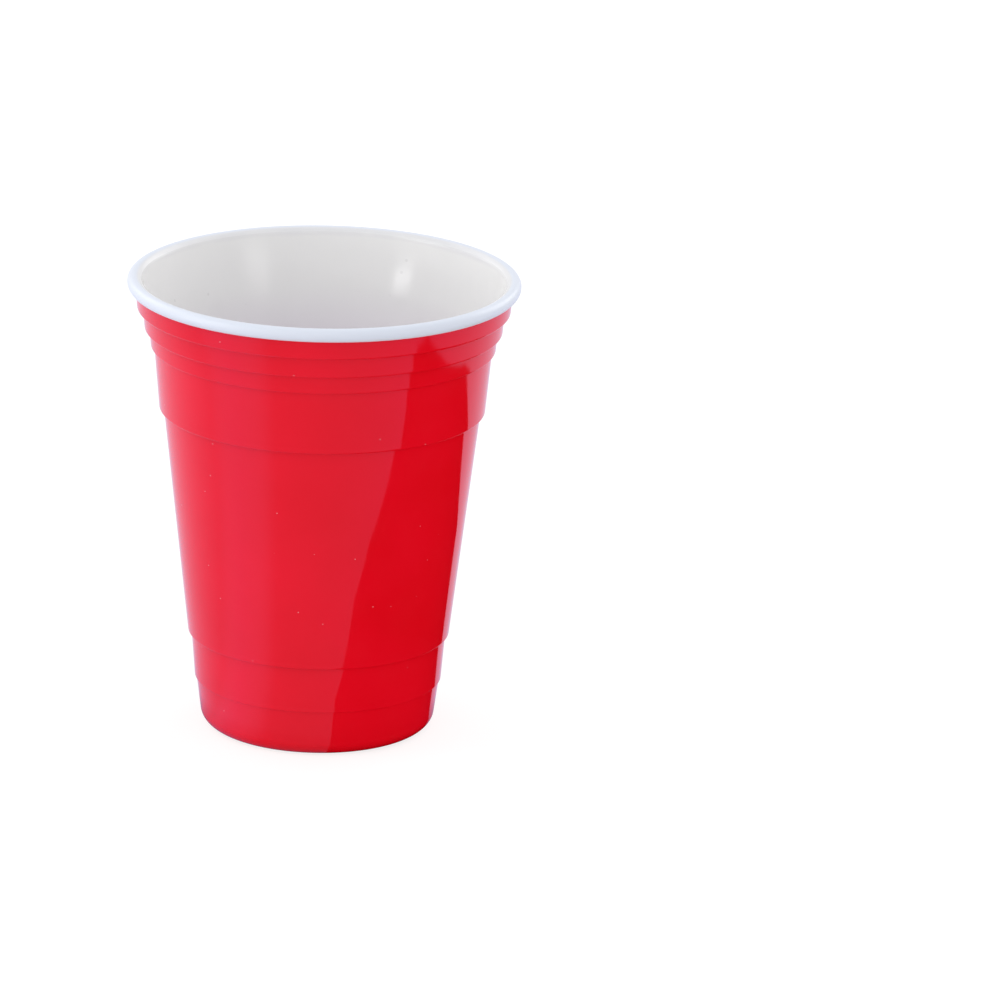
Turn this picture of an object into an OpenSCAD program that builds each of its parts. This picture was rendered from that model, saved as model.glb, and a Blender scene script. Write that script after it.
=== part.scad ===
// Plastic party cup: a one-piece moulded tumbler with a ringed, tapered wall and a beaded rim.
// Millimetres, +Z up. The origin is at the middle of the foot, on the surface that the cup stands on.

/* [Cup] */
// Height from the foot to the top of the rim
cup_h = 118; // [90:1:160]
// Diameter where the lowest band's wall line meets the surface that the cup stands on
foot_d = 58.9; // [50:0.1:70]
// Radius of the rounded edge between the lowest band and the foot
foot_round = 3.8; // [2:0.1:6]

/* [Wall] */
// Thickness of the wall, measured level at the foot ring and at the shoulder ring
wall = 1.8; // [1.2:0.1:2.6]
// Lean of the lowest band outwards as it rises, in degrees
foot_draft = 7.6; // [4:0.1:10]
// Lean of the grip band, in degrees
grip_draft = 4.7; // [3:0.1:9]
// Lean of the main wall, in degrees
wall_draft = 6.6; // [4:0.1:9]
// Lean of the bands above the shoulder ring, in degrees
band_draft = 5.2; // [3:0.1:9]

/* [Band heights] */
// Lowest band, from the foot to the foot ring
foot_band_h = 12.4; // [8:0.1:20]
// Band from the foot ring to the grip ring, where the main wall starts
grip_band_h = 12.1; // [6:0.1:20]
// Band from the shoulder ring, where the main wall ends, to the first of the close-set rings
shoulder_band_h = 16.3; // [8:0.1:25]
// Lowest of the close-set bands
low_band_h = 4.6; // [3:0.1:8]
// Middle one of the close-set bands
middle_band_h = 5.3; // [3:0.1:8]
// Highest of the close-set bands, under the rim
rim_band_h = 4.8; // [3:0.1:8]

/* [Ring steps] */
// How far the grip band stands out over the lowest band
foot_ring_step = 0.4; // [0.2:0.05:1.5]
// How far the main wall stands out over the grip band
grip_ring_step = 0.85; // [0.2:0.05:1.5]
// How far the shoulder band stands out over the main wall
shoulder_ring_step = 1.1; // [0.4:0.05:2]
// How far the lowest of the close-set bands stands out over the shoulder band
low_ring_step = 0.85; // [0.4:0.05:2]
// How far the middle band stands out over the one below
middle_ring_step = 1.2; // [0.4:0.05:2]
// How far the band under the rim stands out over the one below
rim_ring_step = 1.45; // [0.4:0.05:2]
// Share of every step that its rounded edge takes in, and the rest is a level ledge
ring_edge = 0.25; // [0.1:0.05:0.9]

/* [Rim] */
// Height of the half-round bead around the rim
rim_h = 3.4; // [2.4:0.1:5]
// Width of the level ledge under the bead
rim_ledge = 0.4; // [0.1:0.05:1]
// Radius of the rounded inner edge of the lip
lip_round = 2.2; // [1:0.1:3]

/* [Floor] */
// Thickness of the floor
floor_t = 1.8; // [1.2:0.1:3]
// Radius of the rounded corner between the floor and the inside of the wall
floor_round = 8; // [4:0.5:12]
// Depth of the recess in the underside
recess_depth = 1.2; // [0.6:0.1:2.5]
// Width of the flat ring that the cup stands on
foot_flat = 3; // [1.5:0.1:6]

/* [Hidden] */
$fn = 180;

// The farthest that an arc's chords may lie inside the arc
chord_error = 0.01;

// Height and step of every ring from the foot up, and the lean of the band above it.
// The first is the foot itself, with no step.
rim_low = cup_h - rim_h;
rim_ring_z = rim_low - rim_band_h;
middle_ring_z = rim_ring_z - middle_band_h;
low_ring_z = middle_ring_z - low_band_h;
RINGS = [
    [0, 0, foot_draft],
    [foot_band_h, foot_ring_step, grip_draft],
    [foot_band_h + grip_band_h, grip_ring_step, wall_draft],
    [low_ring_z - shoulder_band_h, shoulder_ring_step, band_draft],
    [low_ring_z, low_ring_step, band_draft],
    [middle_ring_z, middle_ring_step, band_draft],
    [rim_ring_z, rim_ring_step, band_draft],
];
FOOT_RING = 1;
SHOULDER_RING = 3;
RIM_RING = len(RINGS) - 1;

function ring_z(i) = RINGS[i][0];
function ring_step(i) = RINGS[i][1];
function lean(i) = RINGS[i][2];
// Radius in the corner under ring i, where the band below ends
function corner_r(i) = i == 0 ? foot_d / 2 : band_r(i - 1, ring_z(i));
// Radius of the band above ring i at height z
function band_r(i, z) = corner_r(i) + ring_step(i) + (z - ring_z(i)) * tan(lean(i));
// How far a round takes a wall of this lean in, down to a level line, and the round for a given way in
function way_in(round, lean) = round * tan((90 - lean) / 2);
function round_for(step, lean) = step / tan((90 - lean) / 2);

function angle_of(v) = atan2(v.y, v.x);
// Points of an arc from one angle to another, in degrees
function arc(centre, round, from, to) =
    let (steps = ceil(abs(to - from) / (2 * acos(1 - chord_error / round))))
    [for (k = [0 : steps]) let (a = from + (to - from) * k / steps) centre + round * [cos(a), sin(a)]];
// Points of the rounded edge from a level line up to a leaning wall, which would meet it at r, z
function lower_edge(r, z, lean, round) = arc([r - way_in(round, lean), z + round], round, -90, -lean);
// Points of ring i: the corner under it, then the rounded edge at the end of its level ledge
function ring(i) =
    let (z = ring_z(i), round = round_for(ring_edge * ring_step(i), lean(i)))
    concat([[corner_r(i), z]], lower_edge(band_r(i, z), z, lean(i), round));

// Rim: the bead, and the lip's rounded inner edge on the same crest
wall_top = [band_r(RIM_RING, rim_low), rim_low];
bead_round = rim_h / 2;
bead_centre = [wall_top.x + rim_ledge, cup_h - bead_round];
lip_centre = [bead_centre.x, cup_h - lip_round];

// Inside: a cone, one wall inside the foot ring's corner and inside the shoulder ring's
cone_low = [corner_r(FOOT_RING) - wall, ring_z(FOOT_RING)];
cone_high = [corner_r(SHOULDER_RING) - wall, ring_z(SHOULDER_RING)];
cone_draft = atan((cone_high.x - cone_low.x) / (cone_high.y - cone_low.y));
floor_z = recess_depth + floor_t;
floor_r = cone_low.x - (cone_low.y - floor_z) * tan(cone_draft);

// Flare: one arc that leaves the cone at its top and runs smoothly into the lip's rounded edge
flare_normal = [cos(cone_draft), -sin(cone_draft)];
to_cone = cone_high - lip_centre;
flare_round = (lip_round ^ 2 - to_cone * to_cone) / (2 * (to_cone * flare_normal + lip_round));
flare_centre = cone_high + flare_round * flare_normal;
flare_end = angle_of(lip_centre - flare_centre);

// Half section in four runs: the outside from the foot up, the rim, the inside down to the floor, the underside
outside = concat(
    lower_edge(foot_d / 2, 0, foot_draft, foot_round),
    [for (i = [1 : RIM_RING]) each ring(i)]
);
rim = concat([wall_top], arc(bead_centre, bead_round, -90, 90), arc(lip_centre, lip_round, 90, flare_end));
inside = concat(
    arc(flare_centre, flare_round, flare_end, angle_of(-flare_normal)),
    arc([floor_r - way_in(floor_round, cone_draft), floor_z + floor_round], floor_round, -cone_draft, -90)
);
recess_r = outside[0].x - foot_flat;
underside = [[0, floor_z], [0, recess_depth], [recess_r, recess_depth], [recess_r, 0]];

// The whole cup, turned from its half section
module cup() {
    color("crimson") rotate_extrude() polygon(concat(outside, rim, inside, underside));
}

cup();
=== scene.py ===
"""A plastic party cup, red outside and white on the rim and inside, standing on a white studio table."""

import math

import bpy
from mathutils import Matrix, Vector


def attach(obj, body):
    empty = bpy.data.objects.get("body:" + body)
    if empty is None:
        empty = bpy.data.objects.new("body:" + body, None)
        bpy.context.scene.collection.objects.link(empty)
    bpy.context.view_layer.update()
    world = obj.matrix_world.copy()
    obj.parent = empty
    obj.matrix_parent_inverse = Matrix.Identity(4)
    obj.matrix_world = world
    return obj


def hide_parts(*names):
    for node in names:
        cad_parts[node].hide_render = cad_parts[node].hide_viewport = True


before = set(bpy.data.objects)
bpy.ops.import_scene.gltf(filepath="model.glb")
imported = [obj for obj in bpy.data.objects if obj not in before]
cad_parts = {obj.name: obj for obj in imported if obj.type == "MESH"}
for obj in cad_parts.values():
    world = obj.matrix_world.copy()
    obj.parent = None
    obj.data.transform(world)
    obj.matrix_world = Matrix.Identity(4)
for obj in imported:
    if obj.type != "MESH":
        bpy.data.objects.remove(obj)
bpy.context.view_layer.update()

MM = 0.001

# Cup sizes in millimetres, as in the solid model
CUP_H = 118.0
FOOT_D = 58.9
FOOT_ROUND = 3.8
WALL = 1.8
RIM_H = 3.4
RIM_LEDGE = 0.4
LIP_ROUND = 2.2
FLOOR_T = 1.8
FLOOR_ROUND = 8.0
RECESS_DEPTH = 1.2
FOOT_FLAT = 3.0

# Bands from the foot up, as in the solid model: height in millimetres, how far the band stands out over the
# one below, and its lean in degrees. The main wall's height is what the other bands leave.
FOOT_BAND = (12.4, 0.0, 7.6)
GRIP_BAND = (12.1, 0.4, 4.7)
MAIN_WALL = (59.1, 0.85, 6.6)
SHOULDER_BAND = (16.3, 1.1, 5.2)
LOW_BAND = (4.6, 0.85, 5.2)
MIDDLE_BAND = (5.3, 1.2, 5.2)
RIM_BAND = (4.8, 1.45, 5.2)
BANDS = (FOOT_BAND, GRIP_BAND, MAIN_WALL, SHOULDER_BAND, LOW_BAND, MIDDLE_BAND, RIM_BAND)

# Share of every ring's step that its rounded edge takes in, and the rest is a level ledge
RING_EDGE = 0.25

# How far both edges of the recess in the underside are rounded, in millimetres, which the solid leaves sharp
RECESS_ROUND = 0.4

# Faces around the cup, and segments of the rounds on its section
TURN_STEPS = 256
RECESS_SEGMENTS = 3
FOOT_SEGMENTS = 12
RING_SEGMENTS = 4
RIM_SEGMENTS = 10
FLARE_SEGMENTS = 20
FLOOR_SEGMENTS = 14

# Working distances in millimetres: from a round to the point that keeps the side beside it flat, from a
# corner to the point picked for it, between points that are merged, and along edges dropped as too short
HOLD = 0.15
PICK_REACH = 0.02
MERGE_GAP = 0.004
SHORT_EDGE = 0.001

# Edges that turn more than this, in degrees, are shaded crisp
CRISP_ANGLE = 32.0

# How far below the ledge under the bead the white starts, in millimetres
WHITE_MARGIN = 0.01

# Where the white changes, in millimetres: heights from the mauve lower inside to the painted shade that greys
# the lip, and the radii over which the rim dulls and the bead turns to a painted cool shade
INSIDE_TINT_Z = (81.5, 119.5)
RIM_DULL_R = (45.9, 46.3)
BEAD_PAINTED_SHADE_R = (46.9, 47.6)

# Table: its width in metres, its own glow to the eye, and how white its paper is to the eye and to the light
# that it throws back on the cup
TABLE_SIZE = 6.0
TABLE_GLOW = 0.8
PAPER_TO_EYE = 0.26
PAPER_TO_CUP = 0.8

# Table to gloss, which is a painted reflection: how bright it is in front of the cup and behind it, what a
# painted highlight streak adds at the front left, and how bright it is close to the foot, where painted
# shadow dims it
TABLE_GLOSS_FRONT = 0.42
TABLE_GLOSS_BACK = 1.1
TABLE_GLOSS_STREAK = 0.36
TABLE_GLOSS_FOOT = 0.15

# The painted highlight streak's middle, in degrees to the left of the front, and its half width in degrees
STREAK_TURN = 55
STREAK_HALF = 26

# Distances from the cup's axis over which the table to gloss goes from dim to bright, in millimetres: painted
# shadow by the foot
FOOT_DIM_R = (25, 40)

# How strongly the white surroundings light the cup, where 1 is as bright as they look
STUDIO_LIGHT = 1.13

# Lamps: name, place in metres, height that it is aimed at, width and height of the soft box, and watts
LAMPS = (
    ("left_strip", (-0.96, -0.67, 0.335), 0.1, (0.26, 0.02), 0.32),
    ("left_low_panel", (-1.2, -0.35, 0.13), 0.06, (0.5, 0.25), 1.6),
    ("right_soft_box", (0.85, -0.79, 0.395), 0.06, (0.35, 0.14), 0.3),
    ("left_panel", (-1.0, -0.25, 0.8), 0.06, (0.6, 0.6), 1.9),
    ("back_right_panel", (0.85, 0.85, 0.7), 0.06, (0.9, 0.7), 3.4),
    ("back_left_panel", (-0.85, 0.75, 0.7), 0.06, (0.9, 0.7), 2.2),
)

# Painted reflection: a dark red card over the table that glows to gloss alone, on the cup's right. Its
# outline and its lift in millimetres, its colour and how much it glows
PAINTED_REFLECTION_CARD = (
    ((0, -20), (13, -60), (46, -97), (80, -112), (134, -116), (195, -130), (232, -156), (258, -130))
    + ((269, -67), (273, 20), (271, 65), (260, 97), (210, 118), (120, 102), (60, 33), (30, -5))
)
CARD_LIFT = 0.1
PAINTED_REFLECTION_COLOUR = "#400810"
PAINTED_REFLECTION_GLOW = 0.1

# Camera: angles in degrees, distance in cup heights, lens in sensor widths, sensor in millimetres, and how
# far it sees in metres
CAMERA_ELEVATION = 17.435
CAMERA_YAW = -1.3655
CAMERA_PITCH = 0.0179
CAMERA_ROLL = -0.9833
CAMERA_DISTANCE = 16.216
CAMERA_LENS = 7.5185
CAMERA_SENSOR = 36.0
CAMERA_SIGHT = 20.0


def tangent(degrees):
    """Tangent of an angle in degrees."""
    return math.tan(math.radians(degrees))


def way_in(round_radius, lean):
    """How far a round takes a leaning wall in, down to a level line."""
    return round_radius * tangent((90.0 - lean) / 2.0)


def underside_corners():
    """Corners of the underside, from the axis out over the recess and the flat ring to the foot's edge."""
    foot_way = way_in(FOOT_ROUND, FOOT_BAND[2])
    recess_r = FOOT_D / 2 - foot_way - FOOT_FLAT
    return [
        (0.0, RECESS_DEPTH, 0.0, 0),
        (recess_r, RECESS_DEPTH, RECESS_ROUND, RECESS_SEGMENTS),
        (recess_r, 0.0, RECESS_ROUND, RECESS_SEGMENTS),
        (FOOT_D / 2, 0.0, foot_way, FOOT_SEGMENTS),
    ]


def outside_corners():
    """Corners of the outside from the foot up: under every ring and at its edge, then the top of the wall."""
    corners = []
    r = FOOT_D / 2
    z = 0.0
    for height, step, lean in BANDS:
        if step:
            corners.append((r, z, 0.0, 0))
            r += step
            corners.append((r, z, RING_EDGE * step, RING_SEGMENTS))
        r += height * tangent(lean)
        z += height
    corners.append((r, z, 0.0, 0))
    return corners


def bead_corners(wall_top):
    """Corners around the half-round bead, which stands on a narrow ledge at the top of the wall."""
    bead_r = wall_top[0] + RIM_LEDGE + RIM_H / 2
    return [
        (bead_r, wall_top[1], RIM_H / 2, RIM_SEGMENTS),
        (bead_r, CUP_H, RIM_H / 2, RIM_SEGMENTS),
    ]


def inside_corners(foot_ring, shoulder_ring, wall_top):
    """Corners of the lip, the flare under it and the floor, down to the axis.

    The inside is a cone, one wall inside the foot ring and the shoulder ring, and flares from there to the
    lip."""
    cone_low = Vector((foot_ring[0] - WALL, foot_ring[1]))
    cone_high = Vector((shoulder_ring[0] - WALL, shoulder_ring[1]))
    along_cone = (cone_high - cone_low).normalized()
    outwards = Vector((along_cone.y, -along_cone.x))

    # Flare: an arc that leaves the cone at its top and runs smoothly into the lip's round
    lip_centre = Vector((wall_top[0] + RIM_LEDGE, CUP_H - LIP_ROUND))
    to_cone = cone_high - lip_centre
    flare_round = (LIP_ROUND**2 - to_cone.dot(to_cone)) / (2 * (to_cone.dot(outwards) + LIP_ROUND))
    flare_centre = cone_high + outwards * flare_round
    to_lip = (lip_centre - flare_centre).normalized()
    flare_end = flare_centre + to_lip * flare_round
    flare_turn = math.acos(to_lip.dot(-outwards))
    flare_way = flare_round * math.tan(flare_turn / 2)
    flare_corner = cone_high + along_cone * flare_way

    # Lip: where the line past the flare would meet the top of the rim
    past_flare = (flare_end - flare_corner).normalized()
    lip_way = (CUP_H - flare_end.y) / past_flare.y
    lip_corner = flare_end + past_flare * lip_way

    # Floor: where the cone would meet it
    floor_z = RECESS_DEPTH + FLOOR_T
    floor_r = cone_low.x - (cone_low.y - floor_z) * along_cone.x / along_cone.y
    cone_lean = math.degrees(math.atan2(along_cone.x, along_cone.y))
    return [
        (lip_corner.x, lip_corner.y, lip_way, RIM_SEGMENTS),
        (flare_corner.x, flare_corner.y, flare_way, FLARE_SEGMENTS),
        (floor_r, floor_z, way_in(FLOOR_ROUND, cone_lean), FLOOR_SEGMENTS),
        (0.0, floor_z, 0.0, 0),
    ]


def cup_corners():
    """Corners of the cup's half section, from the underside out and up, over the rim and down to the floor.

    Each is radius, height, how far its round reaches along both sides, and the round's segments."""
    outside = outside_corners()
    under_rings = outside[::2]
    foot_ring = under_rings[0]
    shoulder_ring = under_rings[2]
    wall_top = outside[-1]
    inside = inside_corners(foot_ring, shoulder_ring, wall_top)
    return underside_corners() + outside + bead_corners(wall_top) + inside


def hold_flats(corners):
    """The corners, with a point more on each straight side close to a round, so that the side shades flat.

    A side that is too short for two such points stays as it is."""
    held = []
    for before, here in zip(corners, corners[1:]):
        start = Vector(before[:2])
        end = Vector(here[:2])
        along = (end - start).normalized()
        held.append(before)
        if (end - start).length > before[2] + here[2] + 4 * HOLD:
            if before[2]:
                point = start + along * (before[2] + HOLD)
                held.append((point.x, point.y, 0.0, 0))
            if here[2]:
                point = end - along * (here[2] + HOLD)
                held.append((point.x, point.y, 0.0, 0))
    return held + corners[-1:]


def draw_wire(points):
    """A wire through points in millimetres, left in edit mode."""
    bpy.ops.object.select_all(action="DESELECT")
    bpy.ops.mesh.primitive_plane_add(size=MM)
    wire = bpy.context.object
    bpy.ops.object.mode_set(mode="EDIT")
    bpy.ops.mesh.merge(type="CENTER")
    bpy.ops.transform.translate(value=[c * MM for c in points[0]])
    for before, here in zip(points, points[1:]):
        step = [(b - a) * MM for a, b in zip(before, here)]
        bpy.ops.mesh.extrude_region_move(TRANSFORM_OT_translate={"value": step})
    return wire


def pick_point(wire, place):
    """In edit mode, selects only the wire's point at a place."""
    bpy.ops.mesh.select_mode(type="VERT")
    bpy.ops.mesh.select_all(action="DESELECT")
    bpy.ops.object.mode_set(mode="OBJECT")
    for point in wire.data.vertices:
        point.select = (point.co - place).length < PICK_REACH * MM
    bpy.ops.object.mode_set(mode="EDIT")


def draw_half_section(corners):
    """A wire through the corners, in the plane Y = 0, and then every round on it."""
    wire = draw_wire([(r, 0.0, z) for r, z, reach, segments in corners])
    for r, z, reach, segments in corners:
        if reach:
            pick_point(wire, Vector((r, 0.0, z)) * MM)
            bpy.ops.mesh.bevel(offset=reach * MM, segments=segments, affect="VERTICES", clamp_overlap=False)
    bpy.ops.object.mode_set(mode="OBJECT")
    return wire


def turn_cup(wire):
    """The cup's shell, turned from its half section about the upright axis."""
    bpy.ops.object.mode_set(mode="EDIT")
    bpy.ops.mesh.select_all(action="SELECT")
    bpy.ops.mesh.spin(steps=TURN_STEPS, angle=math.tau, center=(0.0, 0.0, 0.0), axis=(0.0, 0.0, 1.0))
    bpy.ops.mesh.select_all(action="SELECT")
    bpy.ops.mesh.remove_doubles(threshold=MERGE_GAP * MM)
    bpy.ops.mesh.dissolve_degenerate(threshold=SHORT_EDGE * MM)
    bpy.ops.mesh.select_all(action="SELECT")
    bpy.ops.mesh.normals_make_consistent(inside=False)
    bpy.ops.object.mode_set(mode="OBJECT")
    bpy.ops.object.shade_smooth_by_angle(angle=math.radians(CRISP_ANGLE))
    wire.name = "moulded_cup"
    return wire


def linear(hex_code):
    """An sRGB hex colour as linear red, green, blue and alpha."""
    parts = [int(hex_code[k : k + 2], 16) / 255 for k in (1, 3, 5)]
    return tuple(c / 12.92 if c <= 0.04045 else ((c + 0.055) / 1.055) ** 2.4 for c in parts) + (1.0,)


def add_node(tree, kind, links=None, **settings):
    """A node with its fields and socket values set, and its inputs linked from the given sockets."""
    node = tree.nodes.new(kind)
    for name, value in settings.items():
        if hasattr(node, name):
            setattr(node, name, value)
        else:
            node.inputs[name.replace("_", " ")].default_value = value
    for name, socket in (links or {}).items():
        tree.links.new(socket, node.inputs[name])
    return node


def new_material(name):
    """An empty node material and its tree."""
    material = bpy.data.materials.new(name)
    material.use_nodes = True
    material.node_tree.nodes.clear()
    return material, material.node_tree


def with_dust(tree, place, under, spacing, reach, share, hex_code):
    """The colour under, with specks of dust on it.

    The specks are spaced in space, in millimetres, so that the surface meets only some. Each is full up to
    the first reach from its middle and gone at the second. The share is how much of the colour it covers."""
    cells = add_node(tree, "ShaderNodeTexVoronoi", {"Vector": place}, Scale=1 / (spacing * MM))
    speck = add_node(
        tree,
        "ShaderNodeMapRange",
        {"Value": cells.outputs["Distance"]},
        From_Min=reach[0] / spacing,
        From_Max=reach[1] / spacing,
        To_Min=share,
        To_Max=0.0,
    )
    dusty = add_node(tree, "ShaderNodeMix", {"Factor": speck.outputs["Result"]}, data_type="RGBA")
    tree.links.new(under, dusty.inputs["A"])
    dusty.inputs["B"].default_value = linear(hex_code)
    return dusty.outputs["Result"]


def red_polystyrene():
    """Red polystyrene, injection moulded against polished steel.

    The eye sees one deep even red under a hard mirror-like gloss, with a faint unevenness where the melt
    flowed, a little haze from handling and a few specks of dust."""
    material, tree = new_material("red_polystyrene_moulded")
    place = add_node(tree, "ShaderNodeTexCoord").outputs["Object"]

    # Pigment: clouds about 25 mm across, two close reds
    clouds = add_node(tree, "ShaderNodeTexNoise", {"Vector": place}, Scale=1 / (25 * MM), Detail=2.0)
    pigment = add_node(tree, "ShaderNodeValToRGB", {"Fac": clouds.outputs["Fac"]})
    pigment.color_ramp.elements[0].position = 0.35
    pigment.color_ramp.elements[0].color = linear("#E6091A")
    pigment.color_ramp.elements[1].position = 0.65
    pigment.color_ramp.elements[1].color = linear("#EB0A1F")

    # Dust: pale specks about 0.25 mm across
    colour = with_dust(
        tree,
        place,
        pigment.outputs["Color"],
        spacing=5.0,
        reach=(0.1, 0.17),
        share=0.55,
        hex_code="#F4C9CF",
    )

    # Haze: clouds about 9 mm across in the gloss
    haze = add_node(tree, "ShaderNodeTexNoise", {"Vector": place}, Scale=1 / (9 * MM), Detail=3.0)
    roughness = add_node(
        tree,
        "ShaderNodeMapRange",
        {"Value": haze.outputs["Fac"]},
        From_Min=0.3,
        From_Max=0.7,
        To_Min=0.04,
        To_Max=0.08,
    )

    # Flow: shallow waves about 14 mm long, which bend reflections a little
    waves = add_node(tree, "ShaderNodeTexNoise", {"Vector": place}, Scale=1 / (14 * MM), Detail=1.0)
    bump = add_node(
        tree,
        "ShaderNodeBump",
        {"Height": waves.outputs["Fac"]},
        Strength=0.25,
        Distance=0.05 * MM,
    )
    shader = add_node(
        tree,
        "ShaderNodeBsdfPrincipled",
        {
            "Base Color": colour,
            "Roughness": roughness.outputs["Result"],
            "Normal": bump.outputs["Normal"],
        },
        IOR=1.55,
    )
    add_node(tree, "ShaderNodeOutputMaterial", {"Surface": shader.outputs["BSDF"]})
    return material


def white_polystyrene():
    """White polystyrene, moulded behind the red against the mould's core, which is less polished.

    The eye sees a neutral white with a soft gloss inside, faintly mauve further down where the red behind it
    shows through. The bead is a cooler white, which is painted cool shade, and the lip's edge a little
    greyer, which is painted shade. The whole rim is duller from handling."""
    material, tree = new_material("white_polystyrene_moulded")
    place = add_node(tree, "ShaderNodeTexCoord").outputs["Object"]
    across = add_node(tree, "ShaderNodeVectorMath", {0: place}, operation="MULTIPLY")
    across.inputs[1].default_value = (1.0, 1.0, 0.0)
    off_axis = add_node(tree, "ShaderNodeVectorMath", {0: across.outputs["Vector"]}, operation="LENGTH")
    radius = off_axis.outputs["Value"]
    height = add_node(tree, "ShaderNodeSeparateXYZ", {"Vector": place}).outputs["Z"]

    # Thickness: the inside tint follows the height, a little unevenly in clouds about 20 mm across. At the
    # top the same ramp greys the lip's edge, which is painted shade.
    clouds = add_node(tree, "ShaderNodeTexNoise", {"Vector": place}, Scale=1 / (20 * MM), Detail=2.0)
    uneven = add_node(tree, "ShaderNodeMath", {0: clouds.outputs["Fac"], 2: height}, operation="MULTIPLY_ADD")
    uneven.inputs[1].default_value = 3 * MM
    depth = add_node(
        tree,
        "ShaderNodeMapRange",
        {"Value": uneven.outputs[0]},
        From_Min=INSIDE_TINT_Z[0] * MM,
        From_Max=INSIDE_TINT_Z[1] * MM,
    )
    inside = add_node(tree, "ShaderNodeValToRGB", {"Fac": depth.outputs["Result"]})
    inside.color_ramp.elements[0].position = 0.0
    inside.color_ramp.elements[0].color = linear("#E9E2EC")
    inside.color_ramp.elements[1].position = 0.62
    inside.color_ramp.elements[1].color = linear("#ECECEB")
    inside.color_ramp.elements.new(0.94).color = linear("#ECECEB")
    # Painted shade: the lip's edge turns a little greyer
    inside.color_ramp.elements.new(0.99).color = linear("#E0E0E3")

    # Dust: a few faint grey specks about 0.8 mm across
    dusty = with_dust(
        tree,
        place,
        inside.outputs["Color"],
        spacing=8.5,
        reach=(0.3, 0.5),
        share=0.12,
        hex_code="#6E6C70",
    )

    # Bead: painted cool shade, a cooler and darker white from just inside the crest of the rim outwards
    bead_painted_shade = add_node(
        tree,
        "ShaderNodeMapRange",
        {"Value": radius},
        From_Min=BEAD_PAINTED_SHADE_R[0] * MM,
        From_Max=BEAD_PAINTED_SHADE_R[1] * MM,
    )
    colour = add_node(tree, "ShaderNodeMix", {"Factor": bead_painted_shade.outputs["Result"]}, data_type="RGBA")
    tree.links.new(dusty, colour.inputs["A"])
    colour.inputs["B"].default_value = linear("#DCE2EF")

    # Gloss: hazy inside in clouds about 12 mm across, and duller on the rim
    haze = add_node(tree, "ShaderNodeTexNoise", {"Vector": place}, Scale=1 / (12 * MM), Detail=3.0)
    hazy = add_node(
        tree,
        "ShaderNodeMapRange",
        {"Value": haze.outputs["Fac"]},
        From_Min=0.3,
        From_Max=0.7,
        To_Min=0.15,
        To_Max=0.2,
    )
    on_rim = add_node(
        tree,
        "ShaderNodeMapRange",
        {"Value": radius},
        From_Min=RIM_DULL_R[0] * MM,
        From_Max=RIM_DULL_R[1] * MM,
    )
    roughness = add_node(
        tree,
        "ShaderNodeMapRange",
        {"Value": on_rim.outputs["Result"], "To Min": hazy.outputs["Result"]},
        To_Max=0.32,
    )

    # Flow: shallow waves about 14 mm long, as on the outside
    waves = add_node(tree, "ShaderNodeTexNoise", {"Vector": place}, Scale=1 / (14 * MM), Detail=1.0)
    bump = add_node(
        tree,
        "ShaderNodeBump",
        {"Height": waves.outputs["Fac"]},
        Strength=0.25,
        Distance=0.05 * MM,
    )
    shader = add_node(
        tree,
        "ShaderNodeBsdfPrincipled",
        {
            "Base Color": colour.outputs["Result"],
            "Roughness": roughness.outputs["Result"],
            "Normal": bump.outputs["Normal"],
        },
        IOR=1.55,
    )
    add_node(tree, "ShaderNodeOutputMaterial", {"Surface": shader.outputs["BSDF"]})
    return material


def paint_cup(cup):
    """Red outside and underneath, and white on the rim, the ledge under its bead and all of the inside."""
    cup.data.materials.clear()
    cup.data.materials.append(red_polystyrene())
    cup.data.materials.append(white_polystyrene())
    white_low = (CUP_H - RIM_H - WHITE_MARGIN) * MM
    mid_floor = (RECESS_DEPTH + FLOOR_T / 2) * MM
    for face in cup.data.polygons:
        outwards = face.normal.x * face.center.x + face.normal.y * face.center.y
        faces_up = face.normal.z > 0.5
        on_rim = face.center.z > white_low
        inside = face.center.z > mid_floor and (outwards < 0 or faces_up)
        face.material_index = 1 if on_rim or inside else 0


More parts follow.
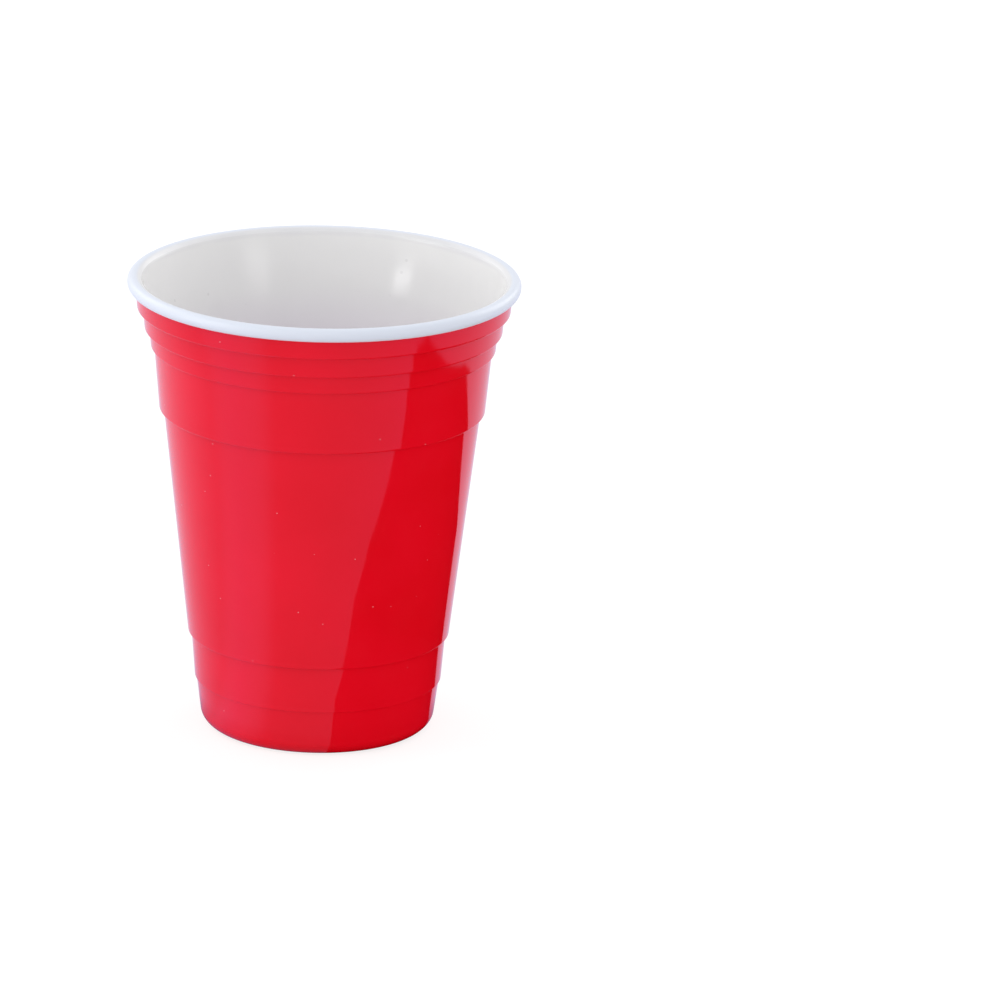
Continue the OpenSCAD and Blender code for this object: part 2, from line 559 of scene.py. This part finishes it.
def add_table():
    """A pale table that keeps the cup's soft shadow.

    To the eye it is white. Gloss sees a painted reflection instead: a glow, white behind the cup and dimmer
    in front, towards the dark of the room, with a painted highlight as a brighter streak at the front left,
    and painted shadow that dims it close to the foot."""
    bpy.ops.object.select_all(action="DESELECT")
    bpy.ops.mesh.primitive_plane_add(size=TABLE_SIZE)
    table = bpy.context.object
    table.name = "studio_table"
    material, tree = new_material("white_table_paper")
    place = add_node(tree, "ShaderNodeTexCoord").outputs["Object"]

    # Streak: a painted highlight, on a sector of the table around one direction from the cup
    way = add_node(tree, "ShaderNodeVectorMath", {0: place}, operation="NORMALIZE")
    back = add_node(tree, "ShaderNodeSeparateXYZ", {"Vector": way.outputs["Vector"]}).outputs["Y"]
    streak_way = add_node(tree, "ShaderNodeVectorMath", {0: way.outputs["Vector"]}, operation="DOT_PRODUCT")
    turn = math.radians(STREAK_TURN)
    streak_way.inputs[1].default_value = (-math.sin(turn), -math.cos(turn), 0.0)
    streak = add_node(
        tree,
        "ShaderNodeMapRange",
        {"Value": streak_way.outputs["Value"]},
        interpolation_type="SMOOTHSTEP",
        From_Min=math.cos(math.radians(STREAK_HALF)),
        To_Max=TABLE_GLOSS_STREAK,
    )

    # Sheen: a painted reflection, what gloss sees, from front to back, with the streak, and dimmed by the
    # foot with painted shadow
    half_way = add_node(
        tree,
        "ShaderNodeMapRange",
        {"Value": back},
        From_Min=-1.0,
        From_Max=1.0,
        To_Min=TABLE_GLOSS_FRONT,
        To_Max=TABLE_GLOSS_BACK,
    )
    in_gloss = add_node(
        tree,
        "ShaderNodeMath",
        {0: half_way.outputs["Result"], 1: streak.outputs["Result"]},
        operation="ADD",
    )
    off_centre = add_node(tree, "ShaderNodeVectorMath", {0: place}, operation="LENGTH").outputs["Value"]
    painted_foot_shadow = add_node(
        tree,
        "ShaderNodeMapRange",
        {"Value": off_centre, "To Max": in_gloss.outputs[0]},
        From_Min=FOOT_DIM_R[0] * MM,
        From_Max=FOOT_DIM_R[1] * MM,
        To_Min=TABLE_GLOSS_FOOT,
    )

    # Tint: the painted reflection's colour, a cool white behind the cup and a bluer one in front
    cool = add_node(tree, "ShaderNodeMapRange", {"Value": back}, From_Min=-1.0, From_Max=0.9)
    tint = add_node(tree, "ShaderNodeValToRGB", {"Fac": cool.outputs["Result"]})
    tint.color_ramp.elements[0].color = linear("#CBCEFF")
    tint.color_ramp.elements[1].color = linear("#E0E3FA")
    tint.color_ramp.elements.new(0.25).color = linear("#BABDFF")

    # Paper: matt, with a glow to the eye alone
    rays = add_node(tree, "ShaderNodeLightPath")
    direct = add_node(
        tree,
        "ShaderNodeMath",
        {0: rays.outputs["Is Camera Ray"], 1: rays.outputs["Is Transmission Ray"]},
        operation="MAXIMUM",
    )
    to_eye = add_node(tree, "ShaderNodeMath", {0: direct.outputs[0]}, operation="MULTIPLY")
    to_eye.inputs[1].default_value = TABLE_GLOW
    white = add_node(
        tree,
        "ShaderNodeMapRange",
        {"Value": rays.outputs["Is Diffuse Ray"]},
        To_Min=PAPER_TO_EYE,
        To_Max=PAPER_TO_CUP,
    )
    paper = add_node(tree, "ShaderNodeBsdfDiffuse", {"Color": white.outputs["Result"]})
    glow = add_node(tree, "ShaderNodeEmission", {"Strength": to_eye.outputs[0]})
    both = add_node(tree, "ShaderNodeAddShader", {0: paper.outputs[0], 1: glow.outputs[0]})
    painted_reflection = add_node(
        tree,
        "ShaderNodeEmission",
        {"Color": tint.outputs["Color"], "Strength": painted_foot_shadow.outputs[0]},
    )
    surface = add_node(
        tree,
        "ShaderNodeMixShader",
        {0: rays.outputs["Is Glossy Ray"], 1: both.outputs[0], 2: painted_reflection.outputs[0]},
    )
    add_node(tree, "ShaderNodeOutputMaterial", {"Surface": surface.outputs[0]})
    table.data.materials.append(material)


def add_studio():
    """White surroundings to the eye and to gloss, and a slightly stronger light on the cup."""
    world = bpy.data.worlds.new("white_studio")
    bpy.context.scene.world = world
    world.use_nodes = True
    tree = world.node_tree
    tree.nodes.clear()
    rays = add_node(tree, "ShaderNodeLightPath")
    eye_or_gloss = add_node(
        tree,
        "ShaderNodeMath",
        {0: rays.outputs["Is Camera Ray"], 1: rays.outputs["Is Glossy Ray"]},
        operation="MAXIMUM",
    )
    seen = add_node(
        tree,
        "ShaderNodeMath",
        {0: eye_or_gloss.outputs[0], 1: rays.outputs["Is Transmission Ray"]},
        operation="MAXIMUM",
    )
    level = add_node(tree, "ShaderNodeMapRange", {"Value": seen.outputs[0]}, To_Min=STUDIO_LIGHT, To_Max=1.0)
    light = add_node(tree, "ShaderNodeBackground", {"Strength": level.outputs[0]})
    add_node(tree, "ShaderNodeOutputWorld", {"Surface": light.outputs[0]})


def add_lamp(name, place, aim_z, size, watts):
    """A soft box lamp at a place, aimed at a height on the cup's axis, out of the camera's sight."""
    bpy.ops.object.light_add(type="AREA", location=place)
    lamp = bpy.context.object
    lamp.name = name
    aim = Vector((0.0, 0.0, aim_z)) - Vector(place)
    lamp.rotation_euler = aim.to_track_quat("-Z", "Y").to_euler()
    lamp.data.shape = "RECTANGLE"
    lamp.data.size = size[0]
    lamp.data.size_y = size[1]
    lamp.data.energy = watts
    lamp.visible_camera = False


def add_card(name, outline, hex_code, glow):
    """A glowing card over the table that only gloss sees: a painted reflection on the cup's shiny wall."""
    card = draw_wire([(x, y, CARD_LIFT) for x, y in outline])
    card.name = name
    bpy.ops.mesh.select_all(action="SELECT")
    bpy.ops.mesh.edge_face_add()
    bpy.ops.object.mode_set(mode="OBJECT")
    material, tree = new_material(name)
    light = add_node(tree, "ShaderNodeEmission", Color=linear(hex_code), Strength=glow)
    add_node(tree, "ShaderNodeOutputMaterial", {"Surface": light.outputs[0]})
    card.data.materials.append(material)
    card.visible_camera = False
    card.visible_diffuse = False
    card.visible_shadow = False
    card.visible_transmission = False


def add_camera():
    """The photograph's viewing angle: from a little above, with the cup left of the middle."""
    elevation = math.radians(CAMERA_ELEVATION)
    distance = CAMERA_DISTANCE * CUP_H * MM
    middle = Vector((0.0, 0.0, 0.5 * CUP_H * MM))
    forward = Vector((0.0, math.cos(elevation), -math.sin(elevation)))
    right = Vector((1.0, 0.0, 0.0))
    up = right.cross(forward)
    eye = middle - forward * distance

    # From the cup's middle the camera turns aside, then up, then about its own line of sight
    yaw = Matrix.Rotation(math.radians(CAMERA_YAW), 3, up)
    forward = yaw @ forward
    right = yaw @ right
    pitch = Matrix.Rotation(math.radians(CAMERA_PITCH), 3, right)
    forward = pitch @ forward
    up = pitch @ up
    roll = Matrix.Rotation(math.radians(CAMERA_ROLL), 3, forward)
    right = roll @ right
    up = roll @ up

    bpy.ops.object.camera_add(location=eye)
    camera = bpy.context.object
    camera.name = "photo_camera"
    turn = Matrix((right, up, -forward)).transposed()
    camera.rotation_euler = turn.to_euler()
    camera.data.sensor_width = CAMERA_SENSOR
    camera.data.lens = CAMERA_SENSOR * CAMERA_LENS
    camera.data.clip_end = CAMERA_SIGHT
    bpy.context.scene.camera = camera


cup = turn_cup(draw_half_section(hold_flats(cup_corners())))
paint_cup(cup)
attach(cup, "root")
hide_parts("cup")

add_table()
add_studio()
for lamp in LAMPS:
    add_lamp(*lamp)
add_card("painted_reflection_card", PAINTED_REFLECTION_CARD, PAINTED_REFLECTION_COLOUR, PAINTED_REFLECTION_GLOW)
add_camera()

bpy.context.scene.view_settings.view_transform = "Standard"
